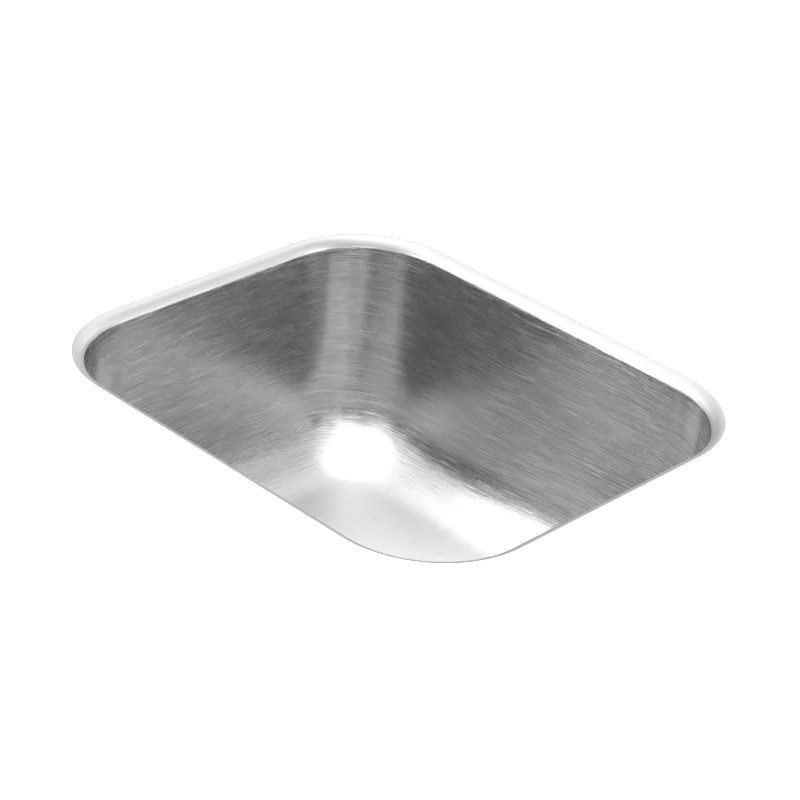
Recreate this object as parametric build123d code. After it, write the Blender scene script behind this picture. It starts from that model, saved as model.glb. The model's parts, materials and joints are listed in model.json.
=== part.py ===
"""Undermount kitchen sink: a pressed bowl with its drain, sound pads and worktop fixings.

Millimetres. The origin is the middle of the bowl's mouth, on the top face of the mounting
flange. +Z is up, +X runs along the long side and -Y is the front.
"""
from build123d import *

from itertools import pairwise
from math import atan2, cos, degrees, radians, sin, tan
import os

# Pressed bowl
bowl_length = 406.4
bowl_width = 342.9
bowl_corner_radius = 76.2
bowl_depth = 200.0
wall_draft = 3.0
floor_cove_radius = 50.8
sheet = 1.2
rim_roll_radius = 10.0
flange_reach = 31.75
flange_corner_radius = 100.0
roll_bands = 5
hidden_roll_bands = 2
hidden_cove_bands = 2

# Drain hole and the recess round it
drain_hole_radius = 44.45
recess_depth = 5.0
recess_draft = 35.0
recess_clearance = 2.35

# Sound pads
pad_thickness = 3.0
pad_corner_cut = 10.0
pad_side_margin = 14.0
pad_top = 50.0
pad_floor_margin = 10.0
pad_drain_clearance = 4.0

# Strainer body
gasket_thickness = 1.5
gasket_inset = 1.2
strainer_flange_reach = 12.7
strainer_flange_thickness = 1.0
strainer_wall = 1.6
cup_clearance = 2.45
cup_depth = 44.0
cup_foot_bevel = 2.3
outlet_radius = 17.5
neck_radius = 23.8
neck_length = 20.0
bar_width = 3.0
bar_height = 3.0
bar_drop = 3.0
bar_boss_wall = 2.7

# Rings that clamp the strainer body
washer_overlap = 10.55
washer_thickness = 3.0
friction_ring_inset = 2.0
friction_ring_thickness = 0.8
lock_nut_wall = 7.9
lock_nut_height = 10.0
lock_nut_lugs = 6
lug_reach = 6.0
lug_width = 12.0
thread_clearance = 0.1

# Basket, its post and its stopper
basket_sheet = 0.9
basket_clearance = 1.4
basket_foot_bevel = 1.7
basket_lip_reach = 4.0
basket_lip_height = 1.5
basket_height = 37.0
wall_slots = 10
wall_slot_width = 4.0
wall_slot_margin = 8.0
floor_slots = 6
floor_slot_width = 3.0
floor_slot_margin = 5.2
post_radius = 2.5
post_clearance = 0.1
post_tip_length = 9.0
axial_play = 0.3
stopper_overlap = 4.5
stopper_thickness = 4.0
post_nut_across_flats = 9.0
post_nut_height = 4.5
knob_rise = 8.0
knob_neck_height = 6.0
knob_neck_wall = 2.5
knob_head_height = 5.0
knob_radius = 9.5

# Waste connection
tailpiece_radius = 19.05
tailpiece_wall = 0.9
tailpiece_length = 101.6
tailpiece_flange_inset = 1.0
tailpiece_flange_thickness = 1.5
tailpiece_washer_thickness = 2.0
tube_clearance = 0.7
coupling_nut_wall = 4.2
coupling_nut_lip = 3.0
coupling_nut_grip = 14.0

# Fixings under the worktop
fixing_inset = 40.0
stud_radius = 3.0
stud_length = 32.0
plate_length = 34.0
plate_width = 22.0
plate_thickness = 1.2
plate_corner_cut = 3.0
plate_gap = 4.0
clip_width = 18.0
clip_thickness = 2.0
clip_toe_reach = 13.0
clip_crank = 3.0
clip_drop = 6.5
clip_slot_length = 13.0
clip_slot_clearance = 0.4
nut_clearance = 0.15
nut_hub_wall = 3.5
nut_hub_height = 7.0
wing_bevel = 1.5
wing_reach = 8.5
wing_tip_width = 6.0
wing_drop = 6.0
wing_thickness = 2.2

# Sizes that follow from the ones above
flange_length = bowl_length + 2 * flange_reach
flange_width = bowl_width + 2 * flange_reach
wall_lean = bowl_depth * tan(radians(wall_draft))
cove_reach = floor_cove_radius * tan(radians((90 - wall_draft) / 2))
floor_inset = wall_lean + cove_reach
strainer_flange_radius = drain_hole_radius + strainer_flange_reach
recess_radius = strainer_flange_radius + recess_clearance
cup_radius = drain_hole_radius - cup_clearance
cup_bore_radius = cup_radius - strainer_wall
rings_bore_radius = cup_radius + thread_clearance
washer_radius = drain_hole_radius + washer_overlap
friction_ring_radius = washer_radius - friction_ring_inset
lock_nut_radius = rings_bore_radius + lock_nut_wall
basket_mouth_radius = cup_bore_radius - basket_clearance
basket_radius = basket_mouth_radius - basket_lip_reach
stopper_radius = outlet_radius + stopper_overlap
knob_neck_radius = post_radius + knob_neck_wall
tailpiece_flange_radius = neck_radius - tailpiece_flange_inset
stud_offset = plate_gap + plate_width / 2
clip_slot_width = 2 * (stud_radius + clip_slot_clearance)
nut_hub_radius = stud_radius + nut_hub_wall
wing_span = nut_hub_radius + wing_reach

# Heights that follow from the ones above
seat_z = -bowl_depth - recess_depth
strainer_z = seat_z + gasket_thickness
cup_underside_z = strainer_z - cup_depth
cup_floor_z = cup_underside_z + strainer_wall
bars_top_z = cup_underside_z - bar_drop
neck_end_z = cup_underside_z - neck_length
washer_top_z = seat_z - sheet
friction_ring_top_z = washer_top_z - washer_thickness
lock_nut_top_z = friction_ring_top_z - friction_ring_thickness
basket_floor_z = cup_floor_z + stopper_thickness + axial_play
knob_z = strainer_z + knob_rise
knob_top_z = knob_z + knob_neck_height + knob_head_height
post_top_z = knob_top_z - knob_head_height / 2
tailpiece_top_z = neck_end_z - tailpiece_washer_thickness
tailpiece_shoulder_z = tailpiece_top_z - tailpiece_flange_thickness
clip_strip_z = -sheet - clip_drop
clip_underside_z = clip_strip_z - clip_thickness / 2


def turned(*outline):
    """Solid turned about Z from a closed outline of (radius, height) corners."""
    return revolve(Plane.XZ * make_face(Polyline(*outline, close=True)), Axis.Z)


def ring(inner, outer, low, high):
    """Plain ring about Z between two heights."""
    return turned((inner, low), (outer, low), (outer, high), (inner, high))


def cut_corner_plate(length, width, cut):
    """Rectangle with its corners cut off at 45 degrees."""
    plate = Rectangle(length, width)
    return chamfer(plate.vertices(), cut)


def drafted(level, next_level):
    """Block with the bowl's outline between two (inset, height) levels."""
    (inset, top), (next_inset, foot) = level, next_level
    outline = RectangleRounded(
        bowl_length - 2 * inset, bowl_width - 2 * inset, bowl_corner_radius - inset
    )
    taper = degrees(atan2(next_inset - inset, top - foot))
    return extrude(Pos(0, 0, top) * outline, top - foot, dir=(0, 0, -1), taper=taper)


def stacked(levels):
    """One solid of the blocks between successive levels."""
    return Part() + [drafted(level, next_level) for level, next_level in pairwise(levels)]


def mouth_level(grow):
    """Where the plane of a wall, moved outwards, meets the top of the flange."""
    return -grow / cos(radians(wall_draft)), 0


def well(grow):
    """The drafted room inside the walls and floor, grown outwards, its floor edge sharp."""
    inset, _ = mouth_level(grow)
    depth = bowl_depth + grow
    return drafted((inset, 0), (inset + depth * tan(radians(wall_draft)), -depth))


def roll_levels(grow, bands):
    """Levels down the rim roll, with the corners of its bands on the arc."""
    draft = radians(wall_draft)
    middle = rim_roll_radius * (tan(draft) - 1 / cos(draft))
    radius = rim_roll_radius - grow
    turns = [radians(90 - (90 - wall_draft) * band / bands) for band in range(bands + 1)]
    return [(middle + radius * cos(turn), radius * sin(turn) - rim_roll_radius) for turn in turns]


def cove_levels(grow, bands):
    """Levels down the floor cove, its bands and the wall and floor all touching the arc."""
    draft = radians(wall_draft)
    middle_z = floor_cove_radius - bowl_depth
    middle = floor_cove_radius / cos(draft) - middle_z * tan(draft)
    turn_each = radians(90 - wall_draft) / (bands + 1)
    radius = (floor_cove_radius + grow) / cos(turn_each / 2)
    turns = [draft + turn_each * (band + 0.5) for band in range(bands + 1)]
    return [(middle - radius * cos(turn), middle_z - radius * sin(turn)) for turn in turns]


def drain_recess(grow):
    """The sunken seat that the strainer's flange lies in, grown outwards all over."""
    above_floor = 1
    top = -bowl_depth + above_floor
    foot = seat_z - grow
    foot_radius = recess_radius + grow * tan(radians((90 - recess_draft) / 2))
    brim_radius = foot_radius + (top - foot) * tan(radians(recess_draft))
    return turned((0, top), (brim_radius, top), (foot_radius, foot), (0, foot))


def flange_form(height):
    """The room above the flange from a height upwards."""
    headroom = 10
    outline = RectangleRounded(flange_length, flange_width, flange_corner_radius)
    return Pos(0, 0, height) * extrude(outline, headroom)


def upper_form():
    """All the room above the sheet, with a true cove round the floor."""
    space = well(0)
    floor_edges = space.faces().sort_by(Axis.Z)[0].edges()
    space = fillet(floor_edges, floor_cove_radius)
    return space + stacked(roll_levels(0, roll_bands)) + flange_form(0) + drain_recess(0)


def lower_form():
    """The room above the sheet's hidden face, where bands stand in for the round stretches."""
    cove = cove_levels(sheet, hidden_cove_bands)
    walls = drafted(mouth_level(sheet), cove[0])
    roll = stacked(roll_levels(sheet, hidden_roll_bands))
    return walls + stacked(cove) + roll + flange_form(-sheet) + drain_recess(sheet)


def sink_bowl():
    """One pressed sheet: flange, rim roll, drafted walls, coved floor and drain recess."""
    pressing = lower_form() - upper_form()
    return pressing - Cylinder(drain_hole_radius, 3 * bowl_depth)


def pad_layer():
    """The layer over the outside of the bowl that every sound pad is cut from."""
    return well(sheet + pad_thickness) - well(sheet)


def wall_pad(layer, turn, wall_length):
    """Sound pad on the flat of the wall that lies at a turn about Z from +X."""
    low = pad_floor_margin + floor_cove_radius - bowl_depth
    height = -pad_top - low
    outline = cut_corner_plate(wall_length - 2 * pad_side_margin, height, pad_corner_cut)
    cutter = extrude(Plane.YZ * Pos(0, low + height / 2) * outline, bowl_length)
    return layer & Rot(0, 0, turn) * cutter


def bottom_pad(layer):
    """Sound pad under the flat of the floor, open round the drain."""
    inset = floor_inset + pad_floor_margin
    outline = cut_corner_plate(bowl_length - 2 * inset, bowl_width - 2 * inset, pad_corner_cut)
    cutter = extrude(Pos(0, 0, -2 * bowl_depth) * outline, 1.5 * bowl_depth)
    brim_radius = recess_radius + (recess_depth + sheet) * tan(radians(recess_draft))
    opening = Cylinder(brim_radius + pad_drain_clearance, 4 * bowl_depth)
    return (layer & cutter) - opening


def strainer_body():
    """Drawn drain cup with its flange, neck and crossbars."""
    flange_top = strainer_z + strainer_flange_thickness
    shell = turned(
        (cup_radius, strainer_z),
        (strainer_flange_radius, strainer_z),
        (strainer_flange_radius, flange_top),
        (cup_bore_radius, flange_top),
        (cup_bore_radius, cup_floor_z + cup_foot_bevel),
        (cup_bore_radius - cup_foot_bevel, cup_floor_z),
        (outlet_radius, cup_floor_z),
        (outlet_radius, neck_end_z),
        (neck_radius, neck_end_z),
        (neck_radius, cup_underside_z),
        (cup_radius - cup_foot_bevel, cup_underside_z),
        (cup_radius, cup_underside_z + cup_foot_bevel),
    )
    return shell + crossbars()


def crossbars():
    """Cross in the outlet with a boss that guides the foot of the post."""
    reach = 2 * outlet_radius + strainer_wall
    cross = Box(reach, bar_width, bar_height) + Box(bar_width, reach, bar_height)
    guide_radius = post_radius + post_clearance
    boss_width = 2 * (guide_radius + bar_boss_wall)
    cross += Box(boss_width, boss_width, bar_height)
    guide = RegularPolygon(guide_radius, 8, major_radius=False)
    cross -= extrude(guide, bar_height, both=True)
    return Pos(0, 0, bars_top_z - bar_height / 2) * cross


def drain_gasket():
    """Flat seal between the strainer's flange and the recess."""
    return ring(drain_hole_radius, strainer_flange_radius - gasket_inset, seat_z, strainer_z)


def rubber_washer():
    """Rubber washer against the underside of the recess."""
    return ring(rings_bore_radius, washer_radius, friction_ring_top_z, washer_top_z)


def friction_ring():
    """Thin fibre ring that lets the lock nut turn without dragging the rubber."""
    return ring(rings_bore_radius, friction_ring_radius, lock_nut_top_z, friction_ring_top_z)


def lock_nut():
    """Ring nut with lugs that pulls the strainer body down."""
    blank = Cylinder(lock_nut_radius, lock_nut_height)
    lug = Box(2 * lug_reach, lug_width, lock_nut_height)
    blank += PolarLocations(lock_nut_radius, lock_nut_lugs) * lug
    blank -= Cylinder(rings_bore_radius, 2 * lock_nut_height)
    return Pos(0, 0, lock_nut_top_z - lock_nut_height / 2) * blank


def basket_cup(grow):
    """The room inside the basket, grown outwards."""
    low = basket_floor_z + basket_sheet - grow
    high = basket_floor_z + basket_height
    wall = basket_radius - basket_sheet + grow
    bevel = basket_foot_bevel
    return turned((0, low), (wall - bevel, low), (wall, low + bevel), (wall, high), (0, high))


def basket_slots():
    """Cutters for the slots in the basket's wall and floor, clear of its foot, lip and nut."""
    wall_low = basket_floor_z + wall_slot_margin
    wall_high = basket_floor_z + basket_height - wall_slot_margin
    wall_cut = Box(4 * basket_sheet, wall_slot_width, wall_high - wall_low)
    wall_cuts = PolarLocations(basket_radius, wall_slots) * wall_cut
    cuts = [Pos(0, 0, (wall_low + wall_high) / 2) * cut for cut in wall_cuts]
    floor_low = post_nut_across_flats / 2 + floor_slot_margin
    floor_high = basket_radius - basket_foot_bevel - floor_slot_margin
    floor_cut = Box(floor_high - floor_low, floor_slot_width, 4 * basket_sheet)
    floor_cuts = PolarLocations((floor_low + floor_high) / 2, floor_slots) * floor_cut
    return cuts + [Pos(0, 0, basket_floor_z) * cut for cut in floor_cuts]


def strainer_basket():
    """Slotted cup with a lip, free to turn on its post."""
    top = basket_floor_z + basket_height
    lip = ring(basket_radius, basket_mouth_radius, top - basket_lip_height, top)
    bore = Pos(0, 0, basket_floor_z) * Cylinder(post_radius + post_clearance, 4 * basket_sheet)
    return basket_cup(basket_sheet) - basket_cup(0) + lip - bore - basket_slots()


def basket_post():
    """Rod that carries the basket, from the guide in the crossbars up into the knob."""
    low = cup_underside_z - post_tip_length
    return turned((0, low), (post_radius, low), (post_radius, post_top_z), (0, post_top_z))


def stopper():
    """Rubber disc that closes the outlet."""
    return ring(post_radius, stopper_radius, cup_floor_z, cup_floor_z + stopper_thickness)


def post_nut():
    """Small hexagon nut that traps the basket on its rod."""
    low = basket_floor_z + basket_sheet + axial_play
    outline = RegularPolygon(post_nut_across_flats / 2, 6, major_radius=False)
    return Pos(0, 0, low) * extrude(outline - Circle(post_radius), post_nut_height)


def post_knob():
    """Turned pull knob with a blind hole for the rod."""
    neck_top_z = knob_z + knob_neck_height
    neck = ring(post_radius, knob_neck_radius, knob_z, post_top_z)
    head = ring(0, knob_radius, neck_top_z, knob_top_z)
    return neck + (head - ring(0, post_radius, knob_z, post_top_z))


def tailpiece_washer():
    """Flat seal between the strainer's neck and the tailpiece."""
    return ring(outlet_radius, tailpiece_flange_radius, tailpiece_top_z, neck_end_z)


def tailpiece():
    """Flanged waste tube."""
    foot_z = tailpiece_top_z - tailpiece_length
    bore = tailpiece_radius - tailpiece_wall
    return turned(
        (bore, tailpiece_top_z),
        (bore, foot_z),
        (tailpiece_radius, foot_z),
        (tailpiece_radius, tailpiece_shoulder_z),
        (tailpiece_flange_radius, tailpiece_shoulder_z),
        (tailpiece_flange_radius, tailpiece_top_z),
    )


def coupling_nut():
    """Hexagon nut that draws the tailpiece's flange up to the neck."""
    low = tailpiece_shoulder_z - coupling_nut_lip
    high = neck_end_z + coupling_nut_grip
    thread_radius = neck_radius + thread_clearance
    outline = RegularPolygon(thread_radius + coupling_nut_wall, 6, major_radius=False)
    blank = Pos(0, 0, low) * extrude(outline, high - low)
    thread = ring(0, thread_radius, tailpiece_shoulder_z, high + 1)
    tube_way = ring(0, tailpiece_radius + tube_clearance, low - 1, high)
    return blank - thread - tube_way


def fixing_places():
    """Two fixings on each long side and one on each end, their X axis pointing off the flange."""
    along = flange_length / 2 - flange_corner_radius - fixing_inset
    across = flange_width / 2
    places = [Pos(x, across) * Rot(0, 0, 90) for x in (-along, along)]
    places += [Pos(x, -across) * Rot(0, 0, -90) for x in (-along, along)]
    places += [Pos(flange_length / 2, 0), Pos(-flange_length / 2, 0) * Rot(0, 0, 180)]
    return places


def at_fixings(piece):
    """One copy of a piece at every fixing, beside the flange's edge."""
    return Compound([place * piece for place in fixing_places()])


def stud_plate():
    """Plate that is bonded under the worktop, with an eight-sided stud for its thread."""
    outline = cut_corner_plate(plate_width, plate_length, plate_corner_cut)
    plate = Pos(0, 0, -plate_thickness) * extrude(outline, plate_thickness)
    stud = Pos(0, 0, -stud_length) * extrude(RegularPolygon(stud_radius, 8), stud_length)
    return Pos(stud_offset) * (plate + stud)


def sink_clip():
    """Cranked clip: toe under the flange, slot at the stud, heel up against the worktop."""
    toe_z = -sheet - clip_thickness / 2
    heel_x = stud_offset + plate_width / 2 + plate_gap
    bend_line = Polyline(
        (-clip_toe_reach, toe_z),
        (-clip_crank, toe_z),
        (0, clip_strip_z),
        (heel_x, clip_strip_z),
        (heel_x, 0),
    )
    path = Plane.XZ * bend_line
    start = Plane(path @ 0, x_dir=(0, 1, 0), z_dir=path % 0)
    strip = sweep(start * Rectangle(clip_width, clip_thickness), path, transition=Transition.RIGHT)
    slot = Box(clip_slot_length, clip_slot_width, 2 * clip_thickness)
    return strip - Pos(stud_offset, 0, clip_strip_z) * slot


def wing_nut():
    """Six-sided hub with two wings, turned up from below against the clip."""
    low = clip_underside_z - nut_hub_height
    hub = Pos(0, 0, low) * extrude(RegularPolygon(nut_hub_radius, 6), nut_hub_height)
    wing_outline = Polyline(
        (stud_radius, low),
        (nut_hub_radius - wing_bevel, clip_underside_z - wing_bevel),
        (wing_span, low),
        (wing_span, low - wing_drop),
        (wing_span - wing_tip_width, low - wing_drop),
        close=True,
    )
    wing = extrude(Plane.XZ * make_face(wing_outline), wing_thickness / 2, both=True)
    bore = extrude(RegularPolygon(stud_radius + nut_clearance, 8), stud_length, dir=(0, 0, -1))
    return Pos(stud_offset) * (hub + wing + mirror(wing, Plane.YZ) - bore)


def pieces():
    """Every piece by name."""
    long_wall = bowl_length - 2 * bowl_corner_radius
    end_wall = bowl_width - 2 * bowl_corner_radius
    layer = pad_layer()
    return {
        "sink_bowl": sink_bowl(),
        "bottom_pad": bottom_pad(layer),
        "right_pad": wall_pad(layer, 0, end_wall),
        "back_pad": wall_pad(layer, 90, long_wall),
        "left_pad": wall_pad(layer, 180, end_wall),
        "front_pad": wall_pad(layer, 270, long_wall),
        "strainer_body": strainer_body(),
        "drain_gasket": drain_gasket(),
        "rubber_washer": rubber_washer(),
        "friction_ring": friction_ring(),
        "lock_nut": lock_nut(),
        "strainer_basket": strainer_basket(),
        "basket_post": basket_post(),
        "post_knob": post_knob(),
        "post_nut": post_nut(),
        "stopper": stopper(),
        "tailpiece_washer": tailpiece_washer(),
        "tailpiece": tailpiece(),
        "coupling_nut": coupling_nut(),
        "stud_plates": at_fixings(stud_plate()),
        "sink_clips": at_fixings(sink_clip()),
        "wing_nuts": at_fixings(wing_nut()),
    }


os.makedirs("parts", exist_ok=True)
for name, piece in pieces().items():
    export_step(piece, f"parts/{name}.step")
    print(name, round(piece.volume), "mm3")
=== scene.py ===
"""Undermount kitchen sink, laid out as a Blender add-on and run as a script.

Metres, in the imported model's frame. The origin is the middle of the bowl's mouth, on the top
face of the mounting flange. +Z is up, +X runs along the long side and -Y is the front.
"""

import json
from itertools import accumulate, pairwise
from math import asin, cos, pi, radians, sin, tan

import bmesh
import bpy
from bpy.props import FloatProperty, FloatVectorProperty, IntProperty, PointerProperty
from mathutils import Matrix, Vector


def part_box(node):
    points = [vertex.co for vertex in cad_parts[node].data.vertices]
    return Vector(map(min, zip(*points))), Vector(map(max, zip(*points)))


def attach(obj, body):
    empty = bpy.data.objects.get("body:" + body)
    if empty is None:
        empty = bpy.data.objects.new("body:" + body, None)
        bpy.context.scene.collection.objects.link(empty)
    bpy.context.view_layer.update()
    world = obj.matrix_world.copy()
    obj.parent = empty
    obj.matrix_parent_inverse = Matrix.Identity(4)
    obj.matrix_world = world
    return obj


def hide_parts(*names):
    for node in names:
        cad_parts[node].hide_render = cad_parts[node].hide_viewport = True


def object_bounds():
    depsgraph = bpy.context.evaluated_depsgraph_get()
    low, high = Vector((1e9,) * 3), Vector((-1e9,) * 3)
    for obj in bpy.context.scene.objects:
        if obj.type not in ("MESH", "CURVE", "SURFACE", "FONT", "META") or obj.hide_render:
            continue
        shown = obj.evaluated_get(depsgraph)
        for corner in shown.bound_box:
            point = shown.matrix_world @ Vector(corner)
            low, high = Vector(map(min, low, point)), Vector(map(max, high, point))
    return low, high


bl_info = {
    "name": "Undermount Kitchen Sink",
    "version": (1, 0, 0),
    "blender": (4, 5, 0),
    "location": "3D View > Sidebar > Sink",
    "description": "A pressed steel sink bowl with its drain, sound pads and worktop fixings",
    "category": "Add Mesh",
}

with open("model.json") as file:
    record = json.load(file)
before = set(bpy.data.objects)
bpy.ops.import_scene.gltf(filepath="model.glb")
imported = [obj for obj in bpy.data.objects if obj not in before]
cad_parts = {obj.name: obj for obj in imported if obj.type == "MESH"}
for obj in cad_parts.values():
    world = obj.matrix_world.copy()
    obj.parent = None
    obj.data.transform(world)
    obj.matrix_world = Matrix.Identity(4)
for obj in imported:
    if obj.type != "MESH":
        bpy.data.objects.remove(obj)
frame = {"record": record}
cad_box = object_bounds()
flange_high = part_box("sink_bowl")[1]

# Corners of a mesh that lie this near become one
MERGE = 1e-7


def length(name, default, description, **more):
    """A length in metres that the user can change."""
    return FloatProperty(
        name=name, default=default, description=description, unit="LENGTH", precision=5, **more
    )


def angle(name, default, description):
    """An angle that the user gives in degrees."""
    return FloatProperty(
        name=name, default=radians(default), description=description, subtype="ANGLE"
    )


def colour(name, default, description):
    """A linear colour."""
    return FloatVectorProperty(
        name=name, default=default, description=description, subtype="COLOR", size=3,
        min=0, max=1,
    )


class BowlSizes(bpy.types.PropertyGroup):
    """The pressed bowl."""

    mouth_length: length("Mouth Length", 0.4064, "Bowl's length where its walls reach the flange")
    mouth_width: length("Mouth Width", 0.3429, "Bowl's width where its walls reach the flange")
    corner_radius: length("Corner Radius", 0.0762, "Radius of the wall corners at the mouth")
    depth: length("Depth", 0.2, "From the top of the flange to the floor")
    draft: angle("Wall Draft", 3, "How far the walls lean out")
    cove_radius: length("Cove Radius", 0.0508, "Round between the walls and the floor")
    roll_radius: length("Rim Roll Radius", 0.01, "Round between the walls and the flange")
    flange_corner: length("Flange Corner", 0.1, "Radius of the flange's outer corners")
    sheet: length("Sheet", 0.0012, "Thickness of the pressed sheet")
    seat_radius: length("Seat Radius", 0.0595, "Flat seat round the drain hole")
    seat_depth: length("Seat Depth", 0.005, "How far the seat lies under the floor")
    seat_draft: angle("Seat Draft", 35, "Lean of the wall round the seat")
    brim_round: length("Brim Round", 0.003, "Round between the floor and the seat's wall")
    seat_round: length("Seat Round", 0.0015, "Round between the seat's wall and the seat")
    drain_radius: length("Drain Hole Radius", 0.04445, "Hole for the strainer")
    steel: colour("Steel", (0.50, 0.50, 0.50), "Colour of the brushed sheet")


class PadSizes(bpy.types.PropertyGroup):
    """Sound pads on the outside of the bowl."""

    thickness: length("Thickness", 0.003, "Thickness of the pads")
    corner: length("Corner", 0.014, "Radius of the pads' corners")
    edge: length("Edge", 0.0008, "Round along the pads' edges")
    drain_gap: length("Drain Gap", 0.004, "Between the floor pad and the drain's seat")
    rubber: colour("Rubber", (0.026, 0.026, 0.028), "Colour of the pads")


class StrainerSizes(bpy.types.PropertyGroup):
    """Drain cup and the rings that clamp it."""

    flange_radius: length("Flange Radius", 0.05715, "Outer radius of the cup's flange")
    flange_thickness: length("Flange Thickness", 0.001, "Thickness of the cup's flange")
    gasket_round: length("Gasket Round", 0.0005, "Round along the gasket's edges")
    cup_radius: length("Cup Radius", 0.042, "Outer radius of the cup")
    cup_wall: length("Cup Wall", 0.0016, "Thickness of the cup")
    foot_round: length("Foot Round", 0.0034, "Round between the cup's wall and floor")
    outlet_radius: length("Outlet Radius", 0.0175, "Bore of the outlet")
    neck_radius: length("Neck Radius", 0.0238, "Outer radius of the threaded neck")
    neck_length: length("Neck Length", 0.02, "From the cup's underside to the neck's end")
    thread_start: length("Thread Start", 0.0045, "From the flange to the cup's thread")
    thread_end: length("Thread End", 0.01, "From the cup's underside to its thread")
    thread_pitch: length("Thread Pitch", 0.002, "From one turn of thread to the next")
    thread_depth: length("Thread Depth", 0.0005, "Depth of the threads")
    bar_width: length("Bar Width", 0.003, "Width and height of the crossbars in the outlet")
    bar_drop: length("Bar Drop", 0.003, "From the cup's underside to the crossbars")
    boss_wall: length("Boss Wall", 0.0027, "Wall of the boss that guides the rod")
    fit: length("Fit", 0.0001, "Between the cup and the rings round it")
    nut_wall: length("Nut Wall", 0.0079, "Width of the lock nut's ring")
    lugs: IntProperty(name="Lugs", default=6, description="Lugs round the lock nut")
    lug_width: length("Lug Width", 0.012, "Width of each lug")
    lug_reach: length("Lug Reach", 0.006, "How far each lug stands out")
    steel: colour("Steel", (0.54, 0.54, 0.545), "Colour of the turned steel")
    zinc: colour("Zinc", (0.36, 0.36, 0.37), "Colour of the die-cast nuts")


class BasketSizes(bpy.types.PropertyGroup):
    """Basket, its stem, its knob and its stopper."""

    radius: length("Radius", 0.035, "Outer radius of the basket")
    lip_radius: length("Lip Radius", 0.039, "Outer radius of the basket's lip")
    lip_height: length("Lip Height", 0.0015, "Thickness of the lip")
    sheet: length("Sheet", 0.0009, "Thickness of the basket's sheet")
    foot_round: length("Foot Round", 0.003, "Round between the basket's wall and floor")
    wall_slots: IntProperty(name="Wall Slots", default=10, description="Slots round the wall")
    wall_slot_width: length("Wall Slot Width", 0.004, "Width of a slot in the wall")
    wall_slot_margin: length("Wall Slot Margin", 0.008, "From a slot to the floor or the lip")
    floor_slots: IntProperty(name="Floor Slots", default=6, description="Slots in the floor")
    floor_slot_width: length("Floor Slot Width", 0.003, "Width of a slot in the floor")
    floor_slot_start: length("Floor Slot Start", 0.0097, "From the axis to a slot in the floor")
    floor_slot_margin: length("Floor Slot Margin", 0.0069, "From a floor slot to the wall")
    rod_radius: length("Rod Radius", 0.0025, "Radius of the rod")
    rod_fit: length("Rod Fit", 0.0001, "Between the rod and what slides on it")
    rod_pitch: length("Rod Pitch", 0.0008, "From one turn of the rod's thread to the next")
    rod_thread: length("Rod Thread", 0.00035, "Depth of the rod's thread")
    knob_neck: length("Knob Neck", 0.005, "Radius of the knob's neck")
    knob_head: length("Knob Head", 0.005, "Thickness of the knob's head")
    knob_bore: length("Knob Bore", 0.0024, "From the knob's top to the end of its bore")
    groove: length("Groove", 0.0009, "Depth of the groove round the stopper")


class WasteSizes(bpy.types.PropertyGroup):
    """Waste tube and its coupling."""

    tube_radius: length("Tube Radius", 0.01905, "Outer radius of the tube")
    tube_wall: length("Tube Wall", 0.0009, "Thickness of the tube")
    tube_flange: length("Tube Flange", 0.0015, "Thickness of the tube's flange")
    nut_clearance: length("Nut Clearance", 0.0007, "Between the tube and the nut's lip")
    thread_clearance: length("Thread Clearance", 0.0001, "Between the neck and the nut's bore")
    chrome: colour("Chrome", (0.78, 0.78, 0.79), "Colour of the plated tube")


class FixingSizes(bpy.types.PropertyGroup):
    """Stud plates, clips and wing nuts under the worktop."""

    spacing: length("Spacing", 0.1899, "Between the two fixings on a long side")
    stud_offset: length("Stud Offset", 0.015, "From the flange's edge to a stud")
    stud_radius: length("Stud Radius", 0.003, "Radius over the stud's thread")
    stud_pitch: length("Stud Pitch", 0.001, "From one turn of thread to the next")
    stud_thread: length("Stud Thread", 0.0006, "Depth of the stud's thread")
    plate_length: length("Plate Length", 0.034, "Length of the plates, along the flange")
    plate_width: length("Plate Width", 0.022, "Width of the plates")
    plate_thickness: length("Plate Thickness", 0.0012, "Thickness of the plates")
    plate_corner: length("Plate Corner", 0.003, "Radius of the plates' corners")
    hole_size: length("Hole Size", 0.0032, "Width of the holes in the plates")
    clip_thickness: length("Clip Thickness", 0.002, "Thickness of the clips")
    clip_width: length("Clip Width", 0.018, "Width of the clips")
    clip_drop: length("Clip Drop", 0.0065, "From the flange to the clips' middle")
    toe_reach: length("Toe Reach", 0.013, "How far the clips reach under the flange")
    crank: length("Crank", 0.003, "How far the clips' slope reaches under the flange")
    heel_reach: length("Heel Reach", 0.015, "From the stud to the clips' heel")
    end_round: length("End Round", 0.003, "Radius of the clips' end corners")
    bend_radius: length("Bend Radius", 0.0024, "Radius of the clips' bends at mid-thickness")
    slot_length: length("Slot Length", 0.013, "Length of the clips' slots")
    slot_fit: length("Slot Fit", 0.0004, "Between the stud and a slot")
    nut_fit: length("Nut Fit", 0.00015, "Between the stud and a wing nut")
    hub_radius: length("Hub Radius", 0.0064, "Radius of the nuts' hubs at the clip")
    hub_foot: length("Hub Foot", 0.0055, "Radius of the nuts' hubs at their foot")
    hub_height: length("Hub Height", 0.007, "Height of the nuts' hubs")
    wing_reach: length("Wing Reach", 0.015, "From the stud's axis to a wing's tip")
    wing_thickness: length("Wing Thickness", 0.0022, "Thickness of the nuts' wings")
    zinc_plate: colour("Zinc Plate", (0.50, 0.51, 0.50), "Colour of the plated steel")


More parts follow.
